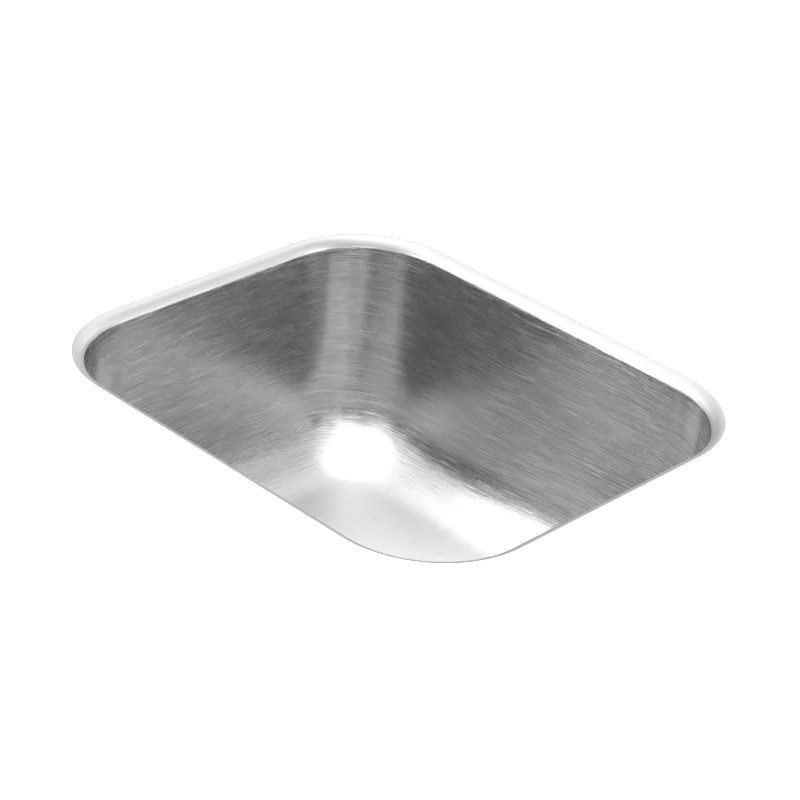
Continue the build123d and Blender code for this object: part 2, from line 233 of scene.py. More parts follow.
class StageSettings(bpy.types.PropertyGroup):
    """Camera, lights and the pale worktop board."""

    azimuth: angle("Azimuth", 42.428, "Camera's bearing, to the right of the front")
    elevation: angle("Elevation", 29.336, "Camera's height above the horizon")
    roll: angle("Roll", -4.974, "Camera's roll about its own axis")
    distance: length("Distance", 1.9104, "From the camera to the middle of the mouth")
    lens: FloatProperty(name="Lens", default=116.04, description="Focal length in millimetres")
    shift_x: FloatProperty(name="Shift X", default=0.00396, description="Framing, in frame widths")
    shift_y: FloatProperty(name="Shift Y", default=-0.02394, description="Framing, in frame widths")
    board_near: length("Board Near", 0.56, "How far the board reaches past the mouth's near sides")
    board_far: length("Board Far", 0.075, "How far the board reaches past the mouth's far sides")
    board_thickness: length("Board Thickness", 0.0006, "Thickness of the board")
    board_grey: FloatProperty(name="Board Grey", default=0.88, description="Tone of the board")
    floor_gap: length("Floor Gap", 0.001, "From the waste tube's foot to the floor")
    floor_reach: length("Floor Reach", 6.0, "From the floor's middle to its edges")
    floor_grey: FloatProperty(name="Floor Grey", default=0.33, description="Tone of the floor")
    ambient: FloatProperty(name="Ambient", default=0.05, description="Even light from all round")
    brightness: FloatProperty(
        name="Brightness", default=1.12, description="Gain of the soft lights"
    )
    contrast: FloatProperty(name="Contrast", default=0.7, description="Gamma of the view")


# Node trees


class Value:
    """A node socket that arithmetic can be written with."""

    def __init__(self, finish, socket):
        self.finish, self.socket = finish, socket

    def maths(self, operation, *operands):
        """A math node on this value and others."""
        inputs = dict(enumerate(operands))
        return self.finish.node("ShaderNodeMath", {"operation": operation}, inputs)

    def __add__(self, other):
        return self.maths("ADD", self, other)

    def __sub__(self, other):
        return self.maths("SUBTRACT", self, other)

    def __rsub__(self, other):
        return self.maths("SUBTRACT", other, self)

    def __mul__(self, other):
        return self.maths("MULTIPLY", self, other)

    def __truediv__(self, other):
        return self.maths("DIVIDE", self, other)

    def __pow__(self, other):
        return self.maths("POWER", self, other)

    def __neg__(self):
        return self.maths("MULTIPLY", self, -1.0)

    def __abs__(self):
        return self.maths("ABSOLUTE", self)

    def larger(self, other):
        return self.maths("MAXIMUM", self, other)

    def sine(self):
        return self.maths("SINE", self)

    def cosine(self):
        return self.maths("COSINE", self)

    __radd__ = __add__
    __rmul__ = __mul__


class Nodes:
    """A node tree that is built from expressions."""

    prefix = "ShaderNode"

    def node(self, kind, settings=None, inputs=None, output=0):
        """A node by its type, its settings, which come first, and its sockets' values or links."""
        full_kind = kind if kind.startswith("ShaderNode") else self.prefix + kind
        node = self.tree.nodes.new(full_kind)
        for key, value in (settings or {}).items():
            setattr(node, key, value)
        for key, value in (inputs or {}).items():
            if isinstance(value, Value):
                self.tree.links.new(value.socket, node.inputs[key])
            else:
                node.inputs[key].default_value = value
        return Value(self, node.outputs[output]) if node.outputs else None

    def parts(self, vector):
        """The x, y and z of a vector."""
        split = self.node("ShaderNodeSeparateXYZ", {}, {0: vector})
        return [Value(self, socket) for socket in split.socket.node.outputs]


class Finish(Nodes):
    """One material and the nodes that make it."""

    def __init__(self, name):
        self.material = bpy.data.materials.new(name)
        self.material.use_nodes = True
        self.tree = self.material.node_tree
        self.tree.nodes.clear()

    def place(self):
        """Object coordinates."""
        return self.node("TexCoord", output="Object")

    def noise(self, vector, scale, detail=3.0, roughness=0.5):
        """Cloudy noise from 0 to 1."""
        inputs = {"Vector": vector, "Scale": scale, "Detail": detail, "Roughness": roughness}
        return self.node("TexNoise", {}, inputs)

    def mixed(self, factor, first, second):
        """A colour between two."""
        inputs = {0: factor, 6: first, 7: second}
        return self.node("Mix", {"data_type": "RGBA"}, inputs, output=2)

    def between(self, value, low, high):
        """0 below low, 1 above high and smooth in between."""
        inputs = {"Value": value, 1: low, 2: high}
        return self.node("MapRange", {"interpolation_type": "SMOOTHSTEP"}, inputs)

    def bump(self, height, distance, strength=1.0):
        """A normal for fine relief, from its height."""
        inputs = {"Height": height, "Distance": distance, "Strength": strength}
        return self.node("Bump", {}, inputs)

    def surface(self, **sockets):
        """A Principled shader from its sockets' names, with _ for a space."""
        inputs = {key.replace("_", " "): value for key, value in sockets.items()}
        return self.node("BsdfPrincipled", {}, inputs)

    def finished(self, shader):
        """The material, once its shader is its output."""
        self.node("OutputMaterial", {}, {"Surface": shader})
        return self.material


def shade(rgb, gain=1.0):
    """A colour socket's value from a colour and a gain."""
    return tuple(min(1.0, part * gain) for part in rgb) + (1.0,)


# Strokes round the bowl, lines to a metre, sway in metres and how often they sway
brush_strokes = {"broad": (6.0, 1250.0, 0.005, 3), "fine": (10.0, 2400.0, -0.004, 5)}


def brushed_bowl(sizes):
    """Satin sheet, brushed round the walls and straight along the floor's width, with painted
    light: a lighter floor, a darker rim and a painted highlight in the corner coves.
    """
    finish = Finish("pressed_steel")
    along, down, _ = finish.parts(finish.node("UVMap", {"uv_map": "brush"}))
    here = finish.place()
    x, y, z = finish.parts(here)
    turn = along * (2 * pi)
    east, north = turn.cosine(), turn.sine()
    depth, cove = -z, sizes.cove_radius
    flat = finish.between(depth, sizes.depth - cove * 0.15, sizes.depth - cove * 0.02)
    lines = []
    for stroke, grain, sway, waves in brush_strokes.values():
        level = down + (turn * waves).sine() * sway
        wall = {0: east * stroke, 1: north * stroke, 2: level * grain}
        floor = {0: x * grain + y * (grain * sway * 4), 1: y * (stroke * 5), 2: z * 0}
        place = [finish.node("CombineXYZ", {}, part) for part in (wall, floor)]
        wall_line, floor_line = [finish.noise(part, 1.0, 3.0, 0.6) for part in place]
        lines.append(wall_line + (floor_line - wall_line) * flat)
    broad, fine = lines
    # Mask of the corner coves: it moves the rough floor finish up into them and carries the painted
    # highlight that is added to the floor's base colour below
    off_middle = abs(x) / (sizes.mouth_length / 2) + abs(y) / (sizes.mouth_width / 2)
    corner = finish.between(off_middle, 1.3, 1.65)
    ragged = depth + (broad + fine - 1.0) * (cove * 0.9) + corner * (cove * 0.3)
    on_floor = finish.between(ragged, sizes.depth - cove * 0.6, sizes.depth - cove * 0.1)
    on_rim = finish.between(z, sizes.roll_radius * -0.9, sizes.roll_radius * -0.6)
    even_part = on_floor.larger(on_rim)
    stroke_tone = finish.between(broad * 0.6 + fine * 0.4, 0.32, 0.68)
    tone = 0.5 + (stroke_tone - 0.5) * (1.0 - flat.larger(on_rim) * 0.6)
    drift = finish.noise(here, 9.0, 2.0)
    base = finish.mixed(tone, shade(sizes.steel, 0.76), shade(sizes.steel, 1.22))
    roughness = 0.18 + tone * 0.10 + drift * 0.03
    normal = finish.bump(broad, 0.00012, 0.6)
    brushed = finish.surface(
        Base_Color=base, Metallic=1.0, Roughness=roughness, Anisotropic=0.6,
        Anisotropic_Rotation=0.25, Normal=normal,
    )
    # Painted light: the floor's base colour is set lighter than the walls' steel, 1.05 to 1.2 times
    # it, so that the floor reads bright
    floor_base_painted_light = finish.mixed(tone, shade(sizes.steel, 1.05), shade(sizes.steel, 1.2))
    # Painted highlight: the corner coves' base colour is raised to 1.55 times the steel so the soft
    # highlight in them reads larger
    floor_base_painted_light = finish.mixed(corner, floor_base_painted_light, shade(sizes.steel, 1.55))
    # Painted shade: the rim's base colour is set darker than the steel, 0.68 times it, to hold its
    # brightness down
    even_base = finish.mixed(on_rim, floor_base_painted_light, shade(sizes.steel, 0.68))
    even = finish.surface(
        Base_Color=even_base, Metallic=1.0, Roughness=roughness + 0.36, Normal=normal
    )
    return finish.finished(finish.node("MixShader", {}, {0: even_part, 1: brushed, 2: even}))


def turned_steel(name, rgb, roughness):
    """Steel with the fine rings that turning or spinning leaves."""
    finish = Finish(name)
    here = finish.place()
    x, y, z = finish.parts(here)
    radius = (x * x + y * y) ** 0.5
    rings = finish.noise(
        finish.node("CombineXYZ", {}, {0: radius * 900.0, 1: x * 25.0, 2: z * 900.0}), 1.0, 3.0
    )
    smear = finish.noise(here, 40.0, 3.0)
    base = finish.mixed(rings, shade(rgb, 0.85), shade(rgb, 1.08))
    return finish.finished(finish.surface(
        Base_Color=base, Metallic=1.0, Roughness=roughness + rings * 0.08 + smear * 0.08,
        Normal=finish.bump(rings, 0.00004, 0.5),
    ))


def grained(name, rgb, roughness, scale, depth, metallic=0.0, contrast=0.2):
    """A cast, moulded or pressed surface with a fine grain and slow drift of tone."""
    finish = Finish(name)
    here = finish.place()
    grain = finish.noise(here, scale, 4.0, 0.6)
    drift = finish.noise(here, scale / 25, 2.0)
    tone = grain * 0.5 + drift * 0.5
    base = finish.mixed(tone, shade(rgb, 1 - contrast), shade(rgb, 1 + contrast))
    return finish.finished(finish.surface(
        Base_Color=base, Metallic=metallic, Roughness=roughness + tone * 0.15,
        Normal=finish.bump(grain, depth, 0.8),
    ))


# Meshes


def mesh_of(name, points, faces):
    """A plain mesh."""
    mesh = bpy.data.meshes.new(name)
    mesh.from_pydata(points, [], faces)
    return mesh


def placed(name, mesh, material, sharp=30):
    """A mesh in the scene, smooth but for edges that turn more than an angle in degrees."""
    mesh.materials.clear()
    mesh.materials.append(material)
    mesh.shade_smooth()
    mesh.set_sharp_from_angle(angle=radians(sharp))
    piece = bpy.data.objects.new(name, mesh)
    bpy.context.scene.collection.objects.link(piece)
    return piece


class Rings:
    """Stations round the bowl. Each has as many points, so that neighbours join with quads."""

    corner_steps = 24
    side_steps = 8

    def __init__(self, sizes):
        self.sizes = sizes
        half_x, half_y = sizes.mouth_length / 2, sizes.mouth_width / 2
        self.arc_centre = half_x - sizes.corner_radius, half_y - sizes.corner_radius

    def rounded(self, centre, radius):
        """Rounded rectangle from its corner arcs' centre in the first quarter and their radius."""
        points = []
        for quarter, (sign_x, sign_y) in enumerate(((1, 1), (-1, 1), (-1, -1), (1, -1))):
            middle = Vector((sign_x * centre[0], sign_y * centre[1]))
            for step in range(self.corner_steps + 1):
                turn = (quarter + step / self.corner_steps) * pi / 2
                points.append(middle + radius * Vector((cos(turn), sin(turn))))
        corner = self.corner_steps + 1
        joined = []
        for quarter in range(4):
            arc = points[quarter * corner:(quarter + 1) * corner]
            following = points[(quarter + 1) * corner % len(points)]
            joined += arc
            for step in range(1, self.side_steps):
                joined.append(arc[-1].lerp(following, step / self.side_steps))
        return joined

    def outline(self, inset):
        """The mouth's outline, moved in by an inset."""
        return self.rounded(self.arc_centre, self.sizes.corner_radius - inset)

    def circle(self, radius, like):
        """Circle whose points lie in the directions of another station's points."""
        return [point.normalized() * radius for point in like]


# Steps down each stretch of the bowl
ROLL_STEPS, WALL_STEPS, COVE_STEPS, FLOOR_STEPS, SEAT_STEPS = 10, 12, 16, 8, 4


def bowl_stations(sizes, rings, grow):
    """(points, height) from the flange's edge to the drain hole, on the sheet's face moved out."""
    draft, roll, cove = sizes.draft, sizes.roll_radius, sizes.cove_radius
    flange = (flange_high.x - sizes.flange_corner, flange_high.y - sizes.flange_corner)
    stations = [(rings.rounded(flange, sizes.flange_corner), -grow)]
    roll_middle = roll * (tan(draft) - 1 / cos(draft))
    reach = roll - grow
    for step in range(ROLL_STEPS + 1):
        turn = pi / 2 - (pi / 2 - draft) * step / ROLL_STEPS
        stations.append((rings.outline(roll_middle + reach * cos(turn)), reach * sin(turn) - roll))
    cove_z = cove - sizes.depth
    cove_middle = cove / cos(draft) - cove_z * tan(draft)
    wall_top = stations[-1][1]
    cove_top = cove_z - (cove + grow) * sin(draft)
    for step in range(1, WALL_STEPS):
        height = wall_top + (cove_top - wall_top) * step / WALL_STEPS
        inset = -grow / cos(draft) - height * tan(draft)
        stations.append((rings.outline(inset), height))
    reach = cove + grow
    for step in range(COVE_STEPS + 1):
        turn = draft + (pi / 2 - draft) * step / COVE_STEPS
        outline = rings.outline(cove_middle - reach * cos(turn))
        stations.append((outline, cove_z - reach * sin(turn)))
    edge = stations[-1][0]
    floor = -sizes.depth - grow
    seat = floor - sizes.seat_depth
    seat_turn = pi / 2 - sizes.seat_draft
    foot = sizes.seat_radius + grow * tan(seat_turn / 2)
    brim = foot + (floor - seat) * tan(sizes.seat_draft)
    brim_round, foot_round = sizes.brim_round - grow, sizes.seat_round + grow
    brim_start = brim + brim_round * tan(seat_turn / 2)
    circle = rings.circle(brim_start, edge)
    for step in range(1, FLOOR_STEPS + 1):
        points = [a.lerp(b, step / FLOOR_STEPS) for a, b in zip(edge, circle)]
        stations.append((points, floor))
    turns = [seat_turn * step / SEAT_STEPS for step in range(SEAT_STEPS + 1)]
    for turn in turns[1:]:
        brim_line = rings.circle(brim_start - brim_round * sin(turn), edge)
        stations.append((brim_line, floor - brim_round * (1 - cos(turn))))
    foot_start = foot - foot_round * tan(seat_turn / 2)
    for turn in turns[::-1]:
        foot_line = rings.circle(foot_start + foot_round * sin(turn), edge)
        stations.append((foot_line, seat + foot_round * (1 - cos(turn))))
    stations.append((rings.circle(sizes.drain_radius, edge), seat))
    return stations


def press_bowl(sizes):
    """The whole sheet: its upper face, its lower face and the two edges between them."""
    rings = Rings(sizes)
    upper = bowl_stations(sizes, rings, 0)
    stations = upper + bowl_stations(sizes, rings, sizes.sheet)[::-1]
    count = len(upper[0][0])
    points = [(x, y, height) for outline, height in stations for x, y in outline]
    mouth = rings.outline(0)
    steps = [(mouth[(i + 1) % count] - mouth[i]).length for i in range(count)]
    along = [0, *accumulate(steps)]
    along = [place / along[-1] for place in along]
    first = [Vector((*outline[0], height)) for outline, height in stations]
    down = [0, *accumulate((b - a).length for a, b in pairwise(first))]
    faces, uv = [], []
    for row, high in enumerate(down):
        low = down[row + 1] if row + 1 < len(down) else high
        here, there = row * count, (row + 1) % len(stations) * count
        for i in range(count):
            j = (i + 1) % count
            faces.append((here + i, here + j, there + j, there + i))
            left, right = along[i], along[i + 1]
            uv += [(left, high), (right, high), (right, low), (left, low)]
    mesh = mesh_of("pressed_bowl", points, faces)
    layer = mesh.uv_layers.new(name="brush")
    for loop, place in zip(layer.data, uv):
        loop.uv = place
    return mesh


class Layout(Nodes):
    """A geometry node tree that repeats the mesh it is given. It takes named sizes."""

    prefix = "GeometryNode"

    def __init__(self, name, sizes):
        self.tree = bpy.data.node_groups.new(name, "GeometryNodeTree")
        sockets = self.tree.interface
        sockets.new_socket("Geometry", in_out="INPUT", socket_type="NodeSocketGeometry")
        for label, default in sizes.items():
            kind = "NodeSocketInt" if isinstance(default, int) else "NodeSocketFloat"
            sockets.new_socket(label, in_out="INPUT", socket_type=kind).default_value = default
        sockets.new_socket("Material", in_out="INPUT", socket_type="NodeSocketMaterial")
        sockets.new_socket("Geometry", in_out="OUTPUT", socket_type="NodeSocketGeometry")
        self.start = self.tree.nodes.new("NodeGroupInput")

    def given(self, label):
        """One of the tree's own inputs."""
        return Value(self, self.start.outputs[label])

    def copies(self, points, turn):
        """The given mesh on every point, turned about Z."""
        rotation = self.node("ShaderNodeCombineXYZ", {}, {2: turn})
        inputs = {"Points": points, "Instance": self.given("Geometry"), "Rotation": rotation}
        return self.node("InstanceOnPoints", {}, inputs)

    def ends(self, instances):
        """Real mesh with its material, as the tree's result."""
        real = self.node("RealizeInstances", {}, {0: instances})
        inputs = {"Geometry": real, "Material": self.given("Material")}
        finished = self.node("SetMaterial", {}, inputs)
        result = self.tree.nodes.new("NodeGroupOutput")
        self.tree.links.new(finished.socket, result.inputs["Geometry"])
        return self.tree


def polar_layout():
    """Copies at even turns round the Z axis, moved out by a radius."""
    layout = Layout("polar_copies", {"Count": 6, "Radius": 0.0})
    count = layout.given("Count")
    index = layout.node("InputIndex")
    turn = index * (2 * pi) / count
    reach = layout.given("Radius")
    spread = {0: reach * turn.cosine(), 1: reach * turn.sine()}
    place = layout.node("ShaderNodeCombineXYZ", {}, spread)
    points = layout.node("Points", {}, {"Count": count, "Position": place})
    return layout.ends(layout.copies(points, turn))


def grid_layout():
    """Copies on a grid, turned one way past its middle line and the other way before it."""
    layout = Layout("grid_copies", {
        "Columns": 2, "Rows": 2, "Length": 0.1, "Width": 0.1, "Turn": 0.0,
    })
    grid = layout.node("MeshGrid", {}, {
        "Size X": layout.given("Length"), "Size Y": layout.given("Width"),
        "Vertices X": layout.given("Columns"), "Vertices Y": layout.given("Rows"),
    })
    _, across, _ = layout.parts(layout.node("InputPosition"))
    return layout.ends(layout.copies(grid, across.maths("SIGN", across) * layout.given("Turn")))


def repeated(mesh, layout, material=None, **sizes):
    """A mesh repeated by a layout, as a plain mesh."""
    source = bpy.data.objects.new(mesh.name, mesh)
    bpy.context.scene.collection.objects.link(source)
    modifier = source.modifiers.new("copies", "NODES")
    modifier.node_group = layout
    for item in layout.interface.items_tree:
        if item.in_out == "INPUT" and item.name in sizes:
            modifier[item.identifier] = sizes[item.name]
        elif item.in_out == "INPUT" and item.name == "Material":
            modifier[item.identifier] = material
    result = evaluated(source)
    bpy.data.objects.remove(source)
    return result


def evaluated(source):
    """A plain mesh of an object with its modifiers applied."""
    graph = bpy.context.evaluated_depsgraph_get()
    return bpy.data.meshes.new_from_object(source.evaluated_get(graph), depsgraph=graph)


def shaped(mesh, operation, tools):
    """A solid mesh with other solid meshes cut from it or joined to it."""
    source = bpy.data.objects.new(mesh.name, mesh)
    helpers = [bpy.data.objects.new("tool", tool) for tool in tools]
    for each in (source, *helpers):
        bpy.context.scene.collection.objects.link(each)
    for helper in helpers:
        modifier = source.modifiers.new("shape", "BOOLEAN")
        modifier.operation, modifier.object, modifier.solver = operation, helper, "MANIFOLD"
    result = evaluated(source)
    for each in (source, *helpers):
        bpy.data.objects.remove(each)
    return result


# Outlines and solids


def eased(corners, ease, steps=4):
    """Closed outline with its corners rounded. A corner may give its own radius after x and y."""
    outline = []
    for i, (x, y, *own) in enumerate(corners):
        here = Vector((x, y))
        before = Vector(corners[i - 1][:2]) - here
        after = Vector(corners[(i + 1) % len(corners)][:2]) - here
        radius = own[0] if own else ease
        half_turn = (pi - before.angle(after)) / 2
        if radius == 0 or half_turn < 0.001:
            outline.append(here)
            continue
        reach = min(radius * tan(half_turn), 0.49 * before.length, 0.49 * after.length)
        start, end = here + before.normalized() * reach, here + after.normalized() * reach
        radius = reach / tan(half_turn)
        middle = (before.normalized() + after.normalized()).normalized()
        centre = here + middle * radius / cos(half_turn)
        first, last = (start - centre).normalized(), (end - centre).normalized()
        outline += [
            centre + first.slerp(last, step / steps).normalized() * radius
            for step in range(steps + 1)
        ]
    return outline


def divided(outline, longest):
    """A closed outline with points added along its longer sides."""
    points = []
    for here, following in zip(outline, outline[1:] + outline[:1]):
        parts = max(1, round((following - here).length / longest))
        points += [here.lerp(following, part / parts) for part in range(parts)]
    return points


def inset(outline, amount):
    """An anticlockwise outline moved in along its normals."""
    moved = []
    for i, here in enumerate(outline):
        along = (outline[(i + 1) % len(outline)] - outline[i - 1]).normalized()
        moved.append(here + amount * Vector((-along.y, along.x)))
    return moved


def stadium(length, width, steps=10):
    """Slot outline with round ends, along X, anticlockwise."""
    half = (length - width) / 2
    return [
        Vector((side * half, 0)) + width / 2 * Vector((cos(turn), sin(turn)))
        for side, start in ((1, -pi / 2), (-1, pi / 2))
        for turn in (start + pi * step / steps for step in range(steps + 1))
    ]


def box_outline(length, width, middle=0.0):
    """Corners of a rectangle, anticlockwise."""
    low, high = middle - length / 2, middle + length / 2
    return [(high, -width / 2), (high, width / 2), (low, width / 2), (low, -width / 2)]


def levels(outline, low, high, ease, steps=3):
    """Stations up the side of a plate, its two edges rounded."""
    turns = [pi / 2 * step / steps for step in range(steps + 1)]
    edges = [(ease * (1 - sin(turn)), low + ease * (1 - cos(turn))) for turn in turns]
    edges += [(ease * (1 - cos(turn)), high - ease * (1 - sin(turn))) for turn in turns]
    return [[(*point, height) for point in inset(outline, moved)] for moved, height in edges]


def solid(name, stations):
    """Closed mesh over stations with as many points each. A station of one place is a pole."""
    count = len(stations[0])
    points = [tuple(point) for station in stations for point in station]
    faces = []
    for row in range(len(stations)):
        here, there = row * count, (row + 1) % len(stations) * count
        for i in range(count):
            j = (i + 1) % count
            faces.append((here + i, here + j, there + j, there + i))
    mesh = mesh_of(name, points, faces)
    body = bmesh.new()
    body.from_mesh(mesh)
    bmesh.ops.remove_doubles(body, verts=body.verts, dist=MERGE)
    bmesh.ops.dissolve_degenerate(body, edges=body.edges, dist=MERGE)
    wires = [edge for edge in body.edges if edge.is_wire]
    bmesh.ops.delete(body, geom=wires, context="EDGES")
    bmesh.ops.recalc_face_normals(body, faces=body.faces)
    body.to_mesh(mesh)
    body.free()
    return mesh


def plate(name, outline, low, high, ease, bore=0.0):
    """Flat piece from an outline, closed or with a round bore about Z."""
    if bore:
        outline = divided(outline, bore / 12)
    stations = levels(outline, low, high, ease)
    if bore:
        lead = ease * 0.6
        for out, height in ((lead, high), (0, high - lead), (0, low + lead), (lead, low)):
            stations.append([
                (*(point.normalized() * (bore + out)), height) for point in outline
            ])
    else:
        middle = sum(outline, Vector((0, 0))) / len(outline)
        stations.append([(*middle, high)] * len(outline))
        stations.append([(*middle, low)] * len(outline))
    return solid(name, stations)


def spun(profile, segments=96):
    """Circles about Z through the points of a profile of (radius, height)."""
    turns = [2 * pi * step / segments for step in range(segments)]
    return [
        [(radius * cos(turn), radius * sin(turn), height) for turn in turns]
        for radius, height in profile
    ]


def thread(radius, depth, pitch, high, low, segments=96, per_turn=6):
    """Stations down a screw thread that fades in and out over a turn."""
    rows = round((high - low) / pitch * per_turn)
    stations = []
    for row in range(rows + 1):
        height = high + (low - high) * row / rows
        fade = min(1.0, (high - height) / pitch, (height - low) / pitch)
        station = []
        for step in range(segments):
            turn = 2 * pi * step / segments
            flank = abs(2 * ((height / pitch + step / segments) % 1) - 1)
            reach = radius - depth * fade * flank
            station.append((reach * cos(turn), reach * sin(turn), height))
        stations.append(station)
    return stations


def nut_sides(flat, low, high, segments=96):
    """Stations up a six-sided nut, its corners turned down to a cone at both ends."""
    corner = flat / cos(pi / 6)
    crown = (corner - 0.97 * flat) * tan(pi / 6)
    rises = [crown * step / 4 for step in range(5)]
    heights = [low + rise for rise in rises] + [high - rise for rise in rises[::-1]]
    cones = [0.97 * flat + rise / tan(pi / 6) for rise in rises]
    stations = []
    for height, cone in zip(heights, cones + cones[::-1]):
        station = []
        for step in range(segments):
            turn = 2 * pi * step / segments
            side = flat / cos(turn % (pi / 3) - pi / 6)
            reach = min(side, cone)
            station.append((reach * cos(turn), reach * sin(turn), height))
        stations.append(station)
    return stations


# Pieces


slots = {row["node"]: row["material_slot"] for row in frame["record"]["subparts"]}


def finish_of(slot):
    """A slot's material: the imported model's own where it has one, and else a finish made here."""
    if slot in bpy.data.materials:
        return bpy.data.materials[slot]
    scene = bpy.context.scene
    strainer, waste = scene.sink_strainer, scene.sink_waste
    makers = {
        "sound_pad": lambda: grained(slot, scene.sink_pads.rubber, 0.62, 700, 0.0004),
        "strainer_steel": lambda: turned_steel(slot, strainer.steel, 0.22),
        "foam_seal": lambda: grained(slot, (0.07, 0.07, 0.075), 0.85, 1500, 0.0003),
        "black_rubber": lambda: grained(slot, (0.012, 0.012, 0.013), 0.5, 1200, 0.0001),
        "fibre": lambda: grained(slot, (0.34, 0.22, 0.09), 0.8, 1500, 0.0001),
        "cast_zinc": lambda: grained(slot, strainer.zinc, 0.36, 1300, 0.0001, 1.0),
        "polished_chrome": lambda: turned_steel(slot, waste.chrome, 0.05),
        "white_washer": lambda: grained(slot, (0.72, 0.72, 0.70), 0.45, 700, 0.00005, 0.0, 0.05),
        "plated_steel": lambda: grained(
            slot, scene.sink_fixings.zinc_plate, 0.3, 400, 0.00003, 1.0
        ),
    }
    return makers[slot]()


def fitted(name, mesh, node, body, material=None):
    """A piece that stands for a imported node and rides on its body."""
    piece = placed(name, mesh, material or finish_of(slots[node]))
    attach(piece, body)
    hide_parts(node)


def ring_profile(inner, outer, low, high):
    """Corners of a ring's section."""
    return [(inner, low), (outer, low), (outer, high), (inner, high)]


def fitted_ring(name, node, inner, ease):
    """A plain ring with eased edges in a packed ring's place."""
    low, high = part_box(node)
    profile = eased(ring_profile(inner, high.x, low.z, high.z), ease)
    fitted(name, solid(name, spun(profile)), node, "sink")


# Steps round each corner of a pad
PAD_STEPS = 8


def pad_on_wall(node, bowl, pads, half, turn):
    """Sound pad that lies on the slope of one wall."""
    low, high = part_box(node)
    width = max(high.x - low.x, high.y - low.y)
    top, foot = high.z, low.z
    lean = bowl.draft
    slope = (top - foot) / cos(lean) - 2 * pads.thickness * tan(lean)
    outline = eased(box_outline(width, slope), pads.corner, PAD_STEPS)
    mesh = plate(node, outline, 0, pads.thickness, pads.edge)
    middle = (top + foot) / 2
    reach = half + bowl.sheet / cos(lean) + middle * tan(lean)
    outwards = Vector((cos(lean), 0, -sin(lean)))
    along = Vector((0, 1, 0))
    axes = Matrix((along, outwards.cross(along), outwards)).transposed().to_4x4()
    mesh.transform(Matrix.Rotation(turn, 4, "Z") @ Matrix.Translation((reach, 0, middle)) @ axes)
    return mesh


def pad_on_floor(bowl, pads):
    """Sound pad under the floor, with a round opening for the drain."""
    low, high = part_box("bottom_pad")
    outline = eased(box_outline(2 * high.x, 2 * high.y), pads.corner, PAD_STEPS)
    brim = bowl.seat_radius + (bowl.seat_depth + bowl.sheet) * tan(bowl.seat_draft)
    return plate("floor_pad", outline, low.z, high.z, pads.edge, brim + pads.drain_gap)


def strainer_mesh(sizes, basket):
    """Drain cup with its rolled flange, its threads and the crossbars in its outlet."""
    low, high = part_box("strainer_body")
    flange_foot = high.z - sizes.flange_thickness
    bore = sizes.cup_radius - sizes.cup_wall
    cup_foot = low.z + sizes.neck_length
    floor = cup_foot + sizes.cup_wall
    section = [
        (sizes.cup_radius, cup_foot, sizes.foot_round),
        (sizes.cup_radius, flange_foot, 0.0006),
        (sizes.flange_radius, flange_foot, 0.0002),
        (sizes.flange_radius, high.z, 0.0008),
        (bore, high.z, 0.0012),
        (bore, floor, sizes.foot_round),
        (sizes.outlet_radius, floor, 0.0008),
        (sizes.outlet_radius, low.z, 0.0003),
        (sizes.neck_radius, low.z, 0.0006),
        (sizes.neck_radius, cup_foot, 0.0008),
    ]
    ease_steps = 5
    profile = eased(section, 0, ease_steps)
    up_wall = ease_steps + 1
    cup_thread = thread(
        sizes.cup_radius, sizes.thread_depth, sizes.thread_pitch,
        flange_foot - sizes.thread_start, cup_foot + sizes.thread_end,
    )
    cup = solid("cup", spun(profile[:up_wall]) + cup_thread[::-1] + spun(profile[up_wall:]))
    guide, past = basket.rod_radius + basket.rod_fit, 0.001
    bar_high = cup_foot - sizes.bar_drop
    bar_low = bar_high - sizes.bar_width
    reach = 2 * sizes.outlet_radius + sizes.cup_wall
    bar_outline = eased(box_outline(reach, sizes.bar_width), 0.0003)
    bar = plate("bar", bar_outline, bar_low, bar_high, 0.0006)
    cross = bar.copy()
    cross.transform(Matrix.Rotation(pi / 2, 4, "Z"))
    boss_section = eased(ring_profile(guide, guide + sizes.boss_wall, bar_low, bar_high), 0.0004)
    boss = solid("boss", spun(boss_section, 48))
    way = solid("way", spun(ring_profile(0, guide, bar_low - past, bar_high + past), 48))
    cup = shaped(cup, "UNION", [bar, cross])
    cup = shaped(cup, "DIFFERENCE", [way])
    return shaped(cup, "UNION", [boss])


def lock_nut_outline(sizes, radius, arc_steps=9):
    """The lock nut's ring with a lug at every even turn."""
    half = sizes.lug_width / 2
    root, tip = asin(half / radius), radius + sizes.lug_reach
    corners = []
    for lug in range(sizes.lugs):
        turn = 2 * pi * lug / sizes.lugs
        spin = Matrix.Rotation(turn, 2)
        for x, y, own in (
            (radius * cos(root), -half, 0.001), (tip, -half, 0.0016), (tip, half, 0.0016),
            (radius * cos(root), half, 0.001),
        ):
            corners.append((*(spin @ Vector((x, y))), own))
        gap = 2 * pi / sizes.lugs - 2 * root
        for step in range(1, arc_steps):
            place = turn + root + gap * step / arc_steps
            corners.append((radius * cos(place), radius * sin(place), 0))
    return eased(corners, 0)


